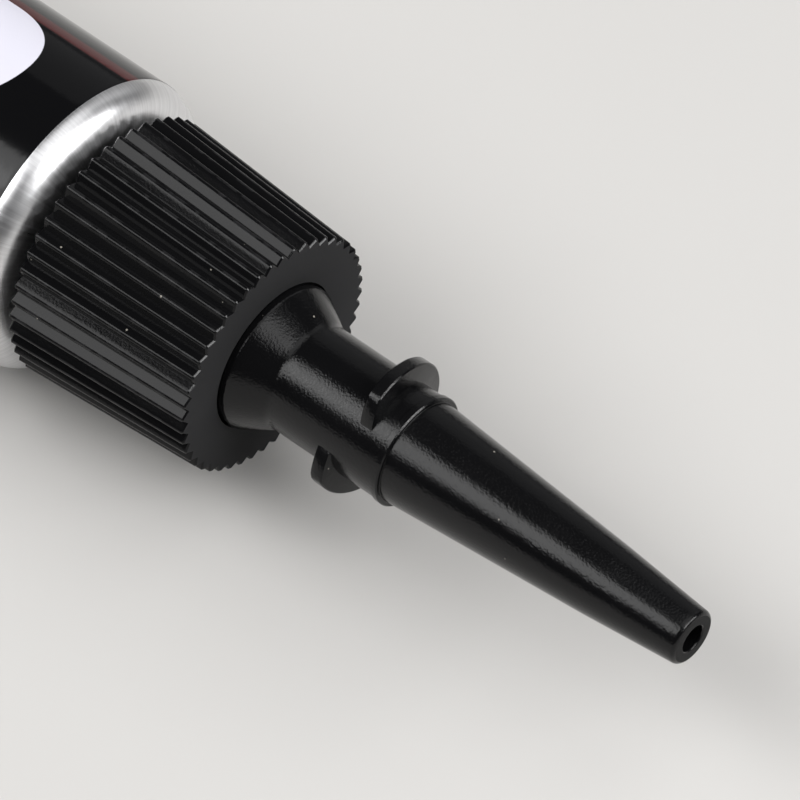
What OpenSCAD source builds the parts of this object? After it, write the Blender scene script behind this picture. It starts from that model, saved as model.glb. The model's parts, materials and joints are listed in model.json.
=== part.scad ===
// Super glue tube: a collapsible metal tube with a folded tail, and a spout held on its neck by a ribbed collar.
// The tube lies along X with its spout towards +X. The floor is z = 0, and the origin is midway along the tube.

/* [Tube] */
// Outside diameter of the metal wall
tube_d = 22; // [21:0.5:28]
// Length of the wall, from the shoulder edge back to the tail strip
wall_l = 96.75; // [80:0.25:130]
// Thickness of the metal wall
wall_t = 0.12; // [0.1:0.01:0.16]
// Length of the wall that stays round behind the shoulder
round_l = 45; // [30:1:60]
// Growth of the flattening towards the tail, 1 for an even wedge
flatten_power = 1.5; // [1.2:0.1:2]
// Thickness of the enamel outside
enamel_t = 0.05; // [0.03:0.01:0.1]
// Thickness of the lacquer inside
lacquer_t = 0.03; // [0.02:0.01:0.05]

/* [Tail] */
// Thickness of the sealing band between the walls
sealant_t = 0.1; // [0.06:0.02:0.3]
// Length of the flat strip in front of the fold
strip_l = 3; // [2:0.5:6]
// Length of the fold
fold_l = 5; // [4:0.5:8]
// Space between the layers of the fold
fold_gap = 0.06; // [0.04:0.01:0.12]
// Length of the sealing band inside the tail
sealant_l = 4; // [3:0.5:8]

/* [Shoulder and neck] */
// Thickness of the shoulder
shoulder_t = 0.6; // [0.4:0.05:0.8]
// Bare straight rim between the enamel and the shoulder's rounded edge
rim_l = 0.1; // [0.1:0.05:1]
// Slope of the shoulder, in degrees from square to the axis
shoulder_slope = 20; // [12:1:24]
// Radius of the shoulder's outer edge
shoulder_edge_r = 2.2; // [1:0.1:2.4]
// Diameter of the neck under its thread
neck_d = 13.2; // [12.6:0.1:13.4]
// Bore of the neck
neck_bore_d = 11.2; // [9:0.1:11.6]
// Thickness of the membrane across the neck's mouth
membrane_t = 0.15; // [0.1:0.05:0.3]
// Hole pierced in the membrane
pierce_d = 4; // [2:0.5:6]

/* [Collar thread] */
// Advance of the thread in one turn
thread_pitch = 1.5; // [1.4:0.1:2]
// Height of the thread above the neck
thread_h = 0.8; // [0.5:0.05:0.85]
// Turns of thread on the neck
neck_turns = 3; // [2:0.25:4]
// Turns of thread in the collar
collar_turns = 2.5; // [1.5:0.25:3]
// Clearance between the two threads
thread_gap = 0.15; // [0.12:0.01:0.2]

/* [Collar] */
// Length of the collar
collar_l = 14.7; // [13:0.1:20]
// Diameter over the ribs at the back
collar_back_d = 19.7; // [19.2:0.1:21]
// Diameter over the ribs at the front
collar_front_d = 17.9; // [17.4:0.1:19]
// Gap from the shoulder edge to the back of the collar
collar_gap = 1.55; // [1.5:0.05:3]
// Number of ribs
rib_count = 48; // [36:1:56]
// Width of a rib at its crest
rib_w = 0.2; // [0.1:0.05:0.4]
// Height of a rib, whose sides slope at 45 degrees
rib_h = 0.5; // [0.3:0.05:0.55]
// Slant at the ends of the ribs
rib_end = 0.15; // [0.1:0.05:0.6]
// Thickness of the front wall
collar_front_t = 1.4; // [1:0.1:2]

/* [Spout] */
// Length in front of the collar
spout_l = 36; // [30:0.5:50]
// Diameter of the hub that passes through the collar
hub_d = 10.9; // [10:0.1:11.6]
// Height of the hub's straight edge above the collar
hub_h = 0.45; // [0.3:0.05:1]
// Distance from the collar to the end of the hub's cone
hub_cone_l = 3.4; // [2.5:0.1:5]
// Diameter of the straight stem
stem_d = 8; // [7.6:0.1:8.6]
// Distance from the collar to the front of the step ring
stem_l = 12.6; // [12.2:0.1:16]
// Height of the step ring above the stem
step_h = 0.12; // [0.05:0.01:0.3]
// Width of the step ring
step_w = 0.55; // [0.3:0.05:1]
// Diameter of the cone just in front of the step ring
cone_d = 7.58; // [7:0.02:7.8]
// Distance from the collar to the knee of the cone
knee_l = 28.7; // [22:0.1:32]
// Diameter of the cone at its knee
knee_d = 5.28; // [5:0.02:6]
// Diameter of the tip before its edge is rounded
tip_d = 3.98; // [3.6:0.02:4.4]
// Radius of the tip's rounded edge
tip_edge_r = 0.4; // [0.2:0.05:0.5]
// Bore of the tip
orifice_d = 1.95; // [1:0.05:2.2]
// Length of the tip's straight bore
orifice_l = 6; // [3:0.5:10]
// Bore of the spout at the step ring
stem_bore_d = 5.2; // [3:0.1:5.6]
// Bore of the spout at its flange
flange_bore_d = 8.4; // [6:0.1:9]
// Thickness of the flange
flange_t = 1.4; // [1:0.1:2]
// Step from the hub out to the flange's rim
flange_step = 1; // [0.6:0.05:1.1]
// Radial clearance of the hub in the collar
hub_gap = 0.06; // [0.03:0.01:0.1]
// Clearance in front of and behind the flange
seat_gap = 0.05; // [0.03:0.01:0.1]

/* [Cap thread] */
// Height of the ridge above the stem
cap_ridge_h = 1.35; // [0.8:0.05:1.8]
// Width of the ridge at its crest
cap_ridge_w = 0.95; // [0.6:0.05:1.2]
// Advance of the ridge in one turn
cap_pitch = 2.7; // [2:0.1:3]
// Angle that the ridge covers, with its slanted ends
cap_sweep = 318; // [200:1:330]
// Angle of each slanted end
cap_ramp = 25; // [10:1:40]
// Direction of the ridge's front end, in degrees from +Y towards +Z
cap_start = 131; // [0:1:359]
// Distance from the collar to the middle of the ridge's front end
cap_front = 10.35; // [9:0.05:11]

/* [Hidden] */
$fn = 96;

// Steps of a half turn of the wall's outline, of the flattening, of one turn of a thread and of the rounded edge
wall_steps = 20;
flatten_steps = 14;
thread_steps = 30;
edge_steps = 8;
// Space between the layers of the wall, and between the lacquer and the glue
layer_gap = 0.01;
glue_gap = 0.05;
// How far one shape of a piece is sunk into the next
sink = 0.3;
// Margin by which a cut passes the surface that it opens
cut = 1;

tube_r = tube_d / 2;
rim_r = tube_r + layer_gap;
rim_t = shoulder_t;
// How far the rounded edge and the inner corner of the shoulder reach back
edge_tangent = shoulder_edge_r * tan((90 - shoulder_slope) / 2);
inner_drop = shoulder_t / cos(shoulder_slope);
inner_corner = inner_drop - rim_t * tan(shoulder_slope);
rim_back = max(edge_tangent, inner_corner) + rim_l;
// Length of the wall's first ring of facets, kept short where the rim meets them
lead_l = 2 * rim_back;
tail_t = sealant_t + 2 * (wall_t + lacquer_t + 2 * layer_gap);
strip_t = tail_t - wall_t;
// How far the tail strip laps into the end of the wall
tail_lap = 0.05;
neck_r = neck_d / 2;
neck_bore_r = neck_bore_d / 2;
shoulder_rise = (rim_r - neck_r) * tan(shoulder_slope);

collar_back_r = collar_back_d / 2;
collar_front_r = collar_front_d / 2;
face_x = collar_gap + collar_l;
mouth_x = face_x - collar_front_t - flange_t - 2 * seat_gap;
tip_x = face_x + spout_l;
fold_end_x = -(wall_l + strip_l + fold_l);
mid_x = (tip_x + fold_end_x) / 2;
axis_z = (tube_r + layer_gap + enamel_t) * cos(90 / wall_steps);

thread_r = neck_r + thread_h;
collar_bore_r = thread_r + thread_gap;
// Widths of a thread's base and crest, as shares of its pitch
thread_base_w = 0.6 * thread_pitch;
thread_crest_w = 0.22 * thread_pitch;
// Turns of plain neck left between the thread and the mouth
plain_turns = 0.75;
// Angle over which a thread's ends fade into the wall
thread_fade = 30;
neck_thread_x = mouth_x - thread_pitch * (neck_turns + plain_turns);
// The collar's thread runs midway between the turns of the neck's
collar_thread_x = neck_thread_x + thread_pitch / 2;

hub_r = hub_d / 2;
stem_r = stem_d / 2;
flange_r = hub_r + flange_step;
// Slant that stands for the hub's rounded edge
hub_edge = 0.25;
tip_r = tip_d / 2;
// How much wider the cap ridge is at its base than at its crest
cap_ridge_slope = 0.35;

// Laying the axis: shapes are drawn about Z from the shoulder edge, and Z becomes X
module lay_along_x() {
  translate([-mid_x, 0, axis_z]) rotate([0, 90, 0]) children();
}

// Share of the flattening at a distance z from the shoulder edge, which is negative on the wall
function flat_share(z) = z > -round_l ? 0 : pow((-z - round_l) / (wall_l - round_l), flatten_power);
function wall_half_t(z) = tube_r - (tube_r - tail_t / 2) * flat_share(z);
// Half the straight stretch of the outline: it grows so that the wall keeps its girth
function wall_half_w(z) = PI / 2 * (tube_r - wall_half_t(z));

// One outline of the wall, moved outwards by an offset: two half circles joined by straight stretches
function wall_ring(z, offset_r) = let (r = wall_half_t(z) + offset_r, w = wall_half_w(z))
  [for (side = [1, -1], k = [0:wall_steps - 1])
    let (a = 180 * (k + 0.5) / wall_steps + (side > 0 ? 0 : 180)) [r * cos(a), side * w + r * sin(a), z]];

// Places of the outlines from one end of a stretch of wall to the other
function flatten_stations() = [for (i = [0:flatten_steps]) -round_l - (wall_l - round_l) * i / flatten_steps];
function wall_stations(front, back) = concat([front],
  [for (z = concat([-lead_l], flatten_stations())) if (z < front && z > back) z], [back]);

function band_faces(from, to, n, flip) = [for (i = [0:n - 1], half = [0, 1])
  let (j = (i + 1) % n, f = half == 0 ? [from + i, from + j, to + j] : [from + i, to + j, to + i])
  flip ? [f[0], f[2], f[1]] : f];

// A closed sleeve of wall between two offsets of its outline
module wall_sleeve(front, back, outer, inner) {
  stations = wall_stations(front, back);
  n = 2 * wall_steps;
  last = len(stations) - 1;
  skip = n * (last + 1);
  points = [for (offset_r = [outer, inner], z = stations) each wall_ring(z, offset_r)];
  sides = [for (i = [0:last - 1]) each concat(
    band_faces(i * n, (i + 1) * n, n, false),
    band_faces(skip + i * n, skip + (i + 1) * n, n, true))];
  ends = concat(band_faces(0, skip, n, true), band_faces(last * n, skip + last * n, n, false));
  polyhedron(points, concat(sides, ends), convexity = 6);
}

// A solid that fills the wall's outline, moved inwards
module wall_filling(front, back, inner) {
  stations = wall_stations(front, back);
  n = 2 * wall_steps;
  last = len(stations) - 1;
  points = [for (z = stations) each wall_ring(z, inner)];
  sides = [for (i = [0:last - 1]) each band_faces(i * n, (i + 1) * n, n, false)];
  front_end = [[for (i = [0:n - 1]) n - 1 - i]];
  back_end = [[for (i = [0:n - 1]) last * n + i]];
  polyhedron(points, concat(sides, front_end, back_end), convexity = 4);
}

// A right-hand ridge wound about Z from z = 0, with its base sunk in a cylinder and its ends slanted
module wound_ridge(surface_r, crest_r, base_w, crest_w, pitch, sweep, ramp) {
  outward = crest_r > surface_r;
  base_r = outward ? surface_r - sink : surface_r + sink;
  low_r = outward ? surface_r - sink / 3 : surface_r + sink / 3;
  n = ceil(sweep / 360 * thread_steps);
  rise = [for (i = [0:n]) min(1, sweep * i / n / ramp, sweep * (n - i) / n / ramp)];
  points = [for (i = [0:n]) let (a = sweep * i / n, z = pitch * a / 360, r = low_r + (crest_r - low_r) * rise[i])
    each [for (p = [[base_r, -base_w], [r, -crest_w], [r, crest_w], [base_r, base_w]])
      [p[0] * cos(a), p[0] * sin(a), z + p[1] / 2]]];
  sides = [for (i = [0:n - 1]) each band_faces(4 * i, 4 * i + 4, 4, !outward)];
  ends = outward ? [[0, 3, 2, 1], [4 * n, 4 * n + 1, 4 * n + 2, 4 * n + 3]]
    : [[0, 1, 2, 3], [4 * n, 4 * n + 3, 4 * n + 2, 4 * n + 1]];
  polyhedron(points, concat(sides, ends), convexity = 10);
}

// Half section of the shoulder and the neck: radius across, distance along
module head_section() {
  inner_edge_r = rim_r - rim_t;
  edge = [for (i = [0:edge_steps]) let (a = (90 - shoulder_slope) * i / edge_steps)
    [rim_r - shoulder_edge_r * (1 - cos(a)), shoulder_edge_r * sin(a) - edge_tangent]];
  polygon(concat(
    [[inner_edge_r, -rim_back], [rim_r, -rim_back]],
    edge,
    [[neck_r, shoulder_rise], [neck_r, mouth_x], [pierce_d / 2, mouth_x], [pierce_d / 2, mouth_x - membrane_t],
      [neck_bore_r, mouth_x - membrane_t],
      [neck_bore_r, (rim_r - neck_bore_r) * tan(shoulder_slope) - inner_drop],
      [inner_edge_r, -inner_corner]]));
}

// Side view of the tail's roll: the strip turns back over itself twice, with its free end inside
module fold_section() {
  step = strip_t + fold_gap;
  big_r = step + strip_t / 2;
  small_r = step / 2 + strip_t / 2;
  back = -(wall_l + strip_l + fold_l) + big_r;
  turn_back = -(wall_l + strip_l) - small_r;
  translate([back, -strip_t / 2]) square([-wall_l + tail_lap - back, strip_t]);
  translate([back, step]) difference() {
    circle(big_r);
    circle(big_r - strip_t);
    translate([0, -2 * big_r]) square(4 * big_r);
  }
  translate([back, 2 * step - strip_t / 2]) square([turn_back - back, strip_t]);
  translate([turn_back, 1.5 * step]) difference() {
    circle(small_r);
    circle(small_r - strip_t);
    translate([-4 * small_r, -2 * small_r]) square(4 * small_r);
  }
  translate([back, step - strip_t / 2]) square([turn_back - back, strip_t]);
}

module tail_fold() {
  width = 2 * wall_half_w(-wall_l);
  rotate([0, -90, 0]) rotate([90, 0, 0]) translate([0, 0, -width / 2]) linear_extrude(width) fold_section();
}

module tube_shell() {
  color("silver") lay_along_x() {
    rotate_extrude() head_section();
    translate([0, 0, neck_thread_x])
      wound_ridge(neck_r, thread_r, thread_base_w, thread_crest_w, thread_pitch, 360 * neck_turns, thread_fade);
    wall_sleeve(-rim_back + rim_l / 2, -wall_l, 0, -wall_t);
    tail_fold();
  }
}

module enamel_coat() {
  color([0.03, 0.03, 0.035]) lay_along_x()
    wall_sleeve(-rim_back, -wall_l, layer_gap + enamel_t, layer_gap);
}

module inner_lacquer() {
  color("gold") lay_along_x()
    wall_sleeve(-rim_back, -wall_l + tail_lap, -wall_t - layer_gap, -wall_t - layer_gap - lacquer_t);
}

module tail_sealant() {
  color("ivory") lay_along_x()
    wall_filling(-wall_l + sealant_l, -wall_l + tail_lap, -wall_t - lacquer_t - 2 * layer_gap);
}

module glue_charge() {
  color([0.9, 0.92, 0.9]) lay_along_x()
    wall_filling(-rim_back, -wall_l + sealant_l, -wall_t - lacquer_t - glue_gap);
}

// Half section of the collar's outside over its ribs, with slanted ends
module collar_envelope() {
  polygon([[0, 0], [collar_back_r - rib_end, 0], [collar_back_r, rib_end], [collar_front_r, collar_l - rib_end],
    [collar_front_r - rib_end, collar_l], [0, collar_l]]);
}

module collar_ribs() {
  taper = atan((collar_back_r - collar_front_r) / (collar_l - 2 * rib_end));
  foot = rib_w / 2 + rib_h;
  for (i = [0:rib_count - 1])
    rotate([0, 0, 360 * i / rib_count])
      translate([collar_back_r - rib_h, 0, rib_end])
        rotate([0, -taper, 0])
          translate([0, 0, -rib_end - cut])
            linear_extrude(collar_l + 2 * cut)
              polygon([[-rib_h, -foot], [0, -foot], [foot, 0], [0, foot], [-rib_h, foot]]);
}

module collar() {
  color([0.05, 0.05, 0.05]) lay_along_x() translate([0, 0, collar_gap]) {
    difference() {
      intersection() {
        union() {
          cylinder(h = collar_l, r1 = collar_back_r - rib_h, r2 = collar_front_r - rib_h);
          collar_ribs();
        }
        rotate_extrude() collar_envelope();
      }
      translate([0, 0, -cut]) cylinder(h = collar_l - collar_front_t + cut, r = collar_bore_r);
      translate([0, 0, -cut]) cylinder(h = collar_l + 2 * cut, r = hub_r + hub_gap);
    }
    translate([0, 0, collar_thread_x - collar_gap])
      wound_ridge(collar_bore_r, neck_r + thread_gap, thread_base_w, thread_crest_w, thread_pitch,
        360 * collar_turns, thread_fade);
  }
}

// Half section of the spout's outside, from its flange to the tip's rounded edge
module spout_section() {
  straight_l = spout_l - tip_edge_r;
  polygon([[0, -collar_front_t - seat_gap - flange_t], [flange_r, -collar_front_t - seat_gap - flange_t],
    [flange_r, -collar_front_t - seat_gap], [hub_r, -collar_front_t - seat_gap], [hub_r, hub_h],
    [hub_r - hub_edge, hub_h + hub_edge], [stem_r, hub_cone_l], [stem_r, stem_l - step_w],
    [stem_r + step_h, stem_l - step_w], [stem_r + step_h, stem_l], [cone_d / 2, stem_l], [knee_d / 2, knee_l],
    [tip_r, straight_l], [0, straight_l]]);
  translate([0, straight_l]) square([tip_r - tip_edge_r, tip_edge_r]);
  intersection() {
    translate([tip_r - tip_edge_r, straight_l]) circle(tip_edge_r);
    translate([0, straight_l - cut]) square([tip_r, 2 * cut]);
  }
}

// Half section of the spout's passage
module passage_section() {
  back = -collar_front_t - seat_gap - flange_t;
  bore_r = orifice_d / 2;
  polygon([[0, back - cut], [flange_bore_d / 2, back - cut], [flange_bore_d / 2, back],
    [stem_bore_d / 2, hub_cone_l], [stem_bore_d / 2, stem_l - step_w],
    [bore_r, spout_l - orifice_l], [bore_r, spout_l + cut], [0, spout_l + cut]]);
}

module spout() {
  ridge_back = cap_front - cap_pitch * cap_sweep / 360;
  color([0.06, 0.06, 0.06]) lay_along_x() translate([0, 0, face_x]) difference() {
    union() {
      rotate_extrude() spout_section();
      translate([0, 0, ridge_back]) rotate([0, 0, cap_start + 90 - cap_sweep])
        wound_ridge(stem_r, stem_r + cap_ridge_h, cap_ridge_w + cap_ridge_slope, cap_ridge_w, cap_pitch,
          cap_sweep, cap_ramp);
    }
    rotate_extrude() passage_section();
  }
}

tube_shell();
enamel_coat();
inner_lacquer();
tail_sealant();
glue_charge();
collar();
spout();
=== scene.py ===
"""Builds the looks of a glue tube round its packed frame: metal, enamel, collar, spout and a studio stage.

X runs along the tube towards the tip and z is up from the floor. Sizes are in metres.
"""

import json
import math

import bmesh
import bpy
from bpy.props import FloatProperty, FloatVectorProperty, IntProperty, PointerProperty
from mathutils import Matrix, Vector, noise


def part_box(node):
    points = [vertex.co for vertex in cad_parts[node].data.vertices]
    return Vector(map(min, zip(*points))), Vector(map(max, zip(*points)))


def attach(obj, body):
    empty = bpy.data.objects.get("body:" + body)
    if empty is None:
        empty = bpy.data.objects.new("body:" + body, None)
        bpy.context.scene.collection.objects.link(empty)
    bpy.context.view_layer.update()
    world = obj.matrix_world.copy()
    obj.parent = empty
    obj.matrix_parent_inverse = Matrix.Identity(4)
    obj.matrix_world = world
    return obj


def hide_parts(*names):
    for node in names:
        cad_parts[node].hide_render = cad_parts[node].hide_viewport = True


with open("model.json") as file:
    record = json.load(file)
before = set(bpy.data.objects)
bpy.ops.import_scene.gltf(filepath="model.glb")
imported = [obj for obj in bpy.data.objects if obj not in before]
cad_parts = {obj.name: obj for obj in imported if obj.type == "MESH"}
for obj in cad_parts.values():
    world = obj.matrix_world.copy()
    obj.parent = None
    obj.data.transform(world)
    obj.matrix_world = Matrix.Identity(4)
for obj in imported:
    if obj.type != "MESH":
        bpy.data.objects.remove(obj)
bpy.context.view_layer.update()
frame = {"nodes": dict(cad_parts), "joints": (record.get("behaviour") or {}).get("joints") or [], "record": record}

bl_info = {
    "name": "Glue Tube Looks",
    "version": (1, 0, 0),
    "blender": (4, 5, 0),
    "location": "View3D > Sidebar > Glue Tube",
    "description": "Builds the visible pieces of a collapsible glue tube and a stage to show it on",
    "category": "Object",
}

MM = 0.001

# Places and sizes that the frame gives
METAL_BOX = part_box("tube_shell")
WALL_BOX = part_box("enamel_coat")
COLLAR_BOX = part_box("collar")
SPOUT_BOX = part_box("spout")
JOINTS = {joint["name"]: joint for joint in frame["joints"]}
MOUNTS = {mount["name"]: mount for mount in frame["record"]["mounts"]}
FACE_X, _, AXIS_Z = JOINTS["collar_turn"]["pos_m"]
ORIFICE = MOUNTS["tip_orifice"]["dims"]
WALL_BACK = WALL_BOX[0].x
WALL_FRONT = WALL_BOX[1].x
COLLAR_BACK = COLLAR_BOX[0].x
TIP = SPOUT_BOX[1].x

# Fineness of the meshes
METAL_COLUMNS = 192
ENAMEL_COLUMNS = 256
HEAD_COLUMNS = 256
SPOUT_COLUMNS = 192
CRIMP_COLUMNS = 8
WALL_STEP = 1.2 * MM
HEAD_STEP = 0.6 * MM
SPOUT_STEP = 0.5 * MM
RIDGE_STEP = 0.4 * MM
WINDING_STEP = math.radians(3)
LAYER_CREASE = math.radians(35)
COLLAR_CREASE = math.radians(30)
SPOUT_CREASE = math.radians(32)
DOUBLES = 0.0005 * MM
RIB_DOUBLES = 0.002 * MM

# Steps in which a corner is rounded: one step makes a flat bevel
CORNER_STEPS = 10
THREAD_STEPS = 3
BEVEL_STEPS = 1

# A hair's breadth between faces that nearly meet
HAIR = 0.05 * MM

GLOSS_IOR = 1.5
WALL_LAYOUT = "wall"


def number(name, description, default, **settings):
    """A property for one number."""
    return FloatProperty(name=name, description=description, default=default, **settings)


def numbers(name, description, default, **settings):
    """A property for several numbers."""
    size = len(default)
    return FloatVectorProperty(name=name, description=description, default=default, size=size, **settings)


def place_along(name, description, default):
    """A property for a place along the tube."""
    return number(name, description, default, precision=5, unit="LENGTH")


def length(name, description, default):
    """A property for a size."""
    return number(name, description, default, min=0.0, precision=5, unit="LENGTH")


def angle(name, description, degrees):
    """A property for an angle."""
    return number(name, description, math.radians(degrees), subtype="ANGLE")


def share(name, description, default):
    """A property for a share from 0 to 1."""
    return number(name, description, default, min=0.0, max=1.0, subtype="FACTOR")


def colour(name, description, default):
    """A property for a linear colour."""
    return numbers(name, description, default, min=0.0, subtype="COLOR")


class WallSizes(bpy.types.PropertyGroup):
    """Sizes of the round wall and its flattened tail."""

    radius: length("Radius", "Outside radius of the enamelled wall", (WALL_BOX[1].z - WALL_BOX[0].z) / 2)
    round_length: length("Round Length", "Length from the shoulder edge that stays round", 45 * MM)
    flatten_power: number("Flatten Power", "Growth of the flattening towards the tail", 1.5)
    enamel: length("Enamel", "Thickness of the enamel", 0.05 * MM)
    metal: length("Metal", "Thickness of the metal wall", 0.09 * MM)
    gap: length("Layer Gap", "Space between the metal and the enamel", 0.01 * MM)
    tail: length("Tail", "Thickness of the pressed tail between its outer faces", 0.44 * MM)
    waves: length("Waves", "Depth of the soft waves in the wall", 0.07 * MM)
    wave_length: length("Wave Length", "Distance between the soft waves", 15 * MM)
    wave_front: length("Wave Front", "Length at the front over which the waves fade", 8 * MM)
    wave_back: length("Wave Back", "Length at the back over which the waves fade", 12 * MM)
    strip: length("Strip", "Thickness of the folded strip", 0.32 * MM)
    strip_length: length("Strip Length", "Flat strip in front of the fold", 3 * MM)
    fold_gap: length("Fold Gap", "Space between the layers of the fold", 0.06 * MM)
    crimp_pitch: length("Crimp Pitch", "Distance between the pressed crimp lines", 1.2 * MM)
    crimp_share: share("Crimp Depth", "Share of the strip pressed away in a crimp line", 0.22)


class PrintSizes(bpy.types.PropertyGroup):
    """Sizes of the plain design printed on the wall."""

    middle: place_along("Middle", "Where the middle of the panel is along the tube", -22 * MM)
    shift: length("Shift", "How far the panel is moved round the wall from its top", 0.6 * MM)
    panel: numbers("Panel", "Half the sides of the panel", (5.2 * MM, 42 * MM), unit="LENGTH")
    band: numbers("Band", "Half the sides of the band in the panel", (1.5 * MM, 37.5 * MM), unit="LENGTH")
    flat: length("Flat", "Half the flat stretch at the round ends of panel and band", 0.05 * MM)
    line_place: length("Line Place", "Distance round the wall from its top to the line", 6.2 * MM)
    line_half: length("Line Half Width", "Half the width of the line", 0.6 * MM)
    soft: length("Softness", "Width over which the print's edges fade", 0.03 * MM)


class HeadSizes(bpy.types.PropertyGroup):
    """Sizes of the bare shoulder, the neck and the threads."""

    edge_place: place_along("Edge Place", "Where the shoulder's edge is", WALL_FRONT + 1.64 * MM)
    slope: angle("Slope", "Slope of the shoulder from square to the axis", 20)
    thickness: length("Thickness", "Thickness of the shoulder", 0.6 * MM)
    edge: length("Edge Radius", "Radius of the shoulder's outer edge", 2.2 * MM)
    bare_back: length("Bare Back", "How far the enamel runs onto the rounded edge", 0.3 * MM)
    rim_radius: length("Rim Radius", "Outside radius of the bare rim", 11.01 * MM)
    neck_radius: length("Neck Radius", "Radius of the neck under its thread", 6.6 * MM)
    bore_radius: length("Neck Bore", "Radius of the neck's bore", 5.6 * MM)
    membrane: length("Membrane", "Thickness of the pierced membrane", 0.15 * MM)
    pierce_radius: length("Pierced Hole", "Radius of the hole in the membrane", 2 * MM)
    mouth_depth: length("Mouth Depth", "Distance from the collar's face back to the neck's mouth", 2.9 * MM)
    thread_height: length("Thread Height", "Height of the two threads", 0.8 * MM)
    thread_base: length("Thread Base", "Half the width of a thread at its sunk base", 0.45 * MM)
    thread_crest: length("Thread Crest", "Half the width of a thread at its crest", 0.165 * MM)
    thread_pitch: length("Thread Pitch", "Advance of the threads in one turn", 1.5 * MM)
    neck_turns: number("Neck Turns", "Turns of thread on the neck", 3.0)
    collar_turns: number("Collar Turns", "Turns of thread in the collar", 2.5)
    plain_turns: number("Plain Turns", "Turns of plain neck behind the mouth", 0.75)
    thread_fade: angle("Thread Fade", "Angle over which a thread's ends fade", 30)


class CollarSizes(bpy.types.PropertyGroup):
    """Sizes of the ribbed collar."""

    rib_count: IntProperty(name="Ribs", description="Number of ribs", default=48, min=12)
    crest: length("Crest Radius", "Radius of a rib's rounded crest", 0.24 * MM)
    rib_end: length("Rib End", "Bevel at the ends of the ribs", 0.13 * MM)
    back_radius: length("Back Radius", "Radius over the ribs at the back", COLLAR_BOX[1].y)
    front_radius: length("Front Radius", "Radius over the ribs at the front", 8.95 * MM)
    bore_radius: length("Bore Radius", "Radius of the threaded bore", 7.55 * MM)
    hole_radius: length("Hole Radius", "Radius of the hole for the hub", 5.51 * MM)
    front_wall: length("Front Wall", "Thickness of the front wall", 1.4 * MM)
    edge: length("Edge", "Bevel of the hole's front edge", 0.08 * MM)
    lead_in: length("Lead In", "Bevel of the threaded bore's back edge", 0.3 * MM)


class SpoutSizes(bpy.types.PropertyGroup):
    """Sizes of the spout and its cap ridge."""

    hub_radius: length("Hub Radius", "Radius of the hub", 5.42 * MM)
    hub_height: length("Hub Height", "Height of the hub's rounded edge above the collar", 0.42 * MM)
    hub_edge: length("Hub Edge", "Radius of the hub's rounded edge", 0.5 * MM)
    hub_cone: length("Hub Cone", "Distance from the collar to the end of the hub's cone", 2.9 * MM)
    hub_fillet: length("Hub Fillet", "Radius where the hub's cone runs into the stem", 1.2 * MM)
    flange_radius: length("Flange Radius", "Radius of the hidden flange", 6.45 * MM)
    flange: length("Flange", "Thickness of the hidden flange", 1.4 * MM)
    flange_edge: length("Flange Edge", "Radius of the hidden flange's edges", 0.1 * MM)
    stem_radius: length("Stem Radius", "Radius of the straight stem", 4 * MM)
    stem_length: length("Stem Length", "Distance from the collar to the front of the step ring", 12.6 * MM)
    step_height: length("Step Height", "Height of the step ring above the stem", 0.12 * MM)
    step_width: length("Step Width", "Width of the step ring", 0.55 * MM)
    step_slant: length("Step Slant", "Length over which the step ring rises", 0.06 * MM)
    step_edge: length("Step Edge", "Bevel of the step ring's front edge", 0.09 * MM)
    cone_radius: length("Cone Radius", "Radius of the cone in front of the step ring", 3.79 * MM)
    knee_length: length("Knee", "Distance from the collar to the knee of the cone", 28.7 * MM)
    knee_radius: length("Knee Radius", "Radius of the cone at its knee", 2.64 * MM)
    knee_bend: length("Knee Bend", "Radius of the bend at the knee", 60 * MM)
    tip_radius: length("Tip Radius", "Radius of the tip before its edge is rounded", 1.99 * MM)
    tip_edge: length("Tip Edge", "Radius of the tip's rounded edge", 0.38 * MM)
    hole_edge: length("Hole Edge", "Radius of the edge of the tip's hole", 0.16 * MM)
    stem_bore: length("Stem Bore", "Radius of the passage in the stem", 2.6 * MM)
    flange_bore: length("Flange Bore", "Radius of the passage at the flange", 4.2 * MM)
    ridge_height: length("Ridge Height", "Height of the cap ridge above the stem", 1.35 * MM)
    ridge_width: length("Ridge Width", "Width of the cap ridge at its crest", 0.95 * MM)
    ridge_flare: length("Ridge Flare", "How much wider the cap ridge is at its base", 0.35 * MM)
    ridge_edge: length("Ridge Edge", "Radius that the cap ridge's bevelled edges span", 0.1 * MM)
    ridge_pitch: length("Ridge Pitch", "Advance of the cap ridge in one turn", 2.7 * MM)
    ridge_front: length("Ridge Front", "Distance from the collar to the ridge's front end", 10.35 * MM)
    ridge_sweep: angle("Ridge Sweep", "Angle that the cap ridge covers", 318)
    ridge_ramp: angle("Ridge Ramp", "Angle of each slanted end", 25)
    ridge_direction: angle("Ridge Direction", "Direction of the front end, from +Y towards +Z", 131)


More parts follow.
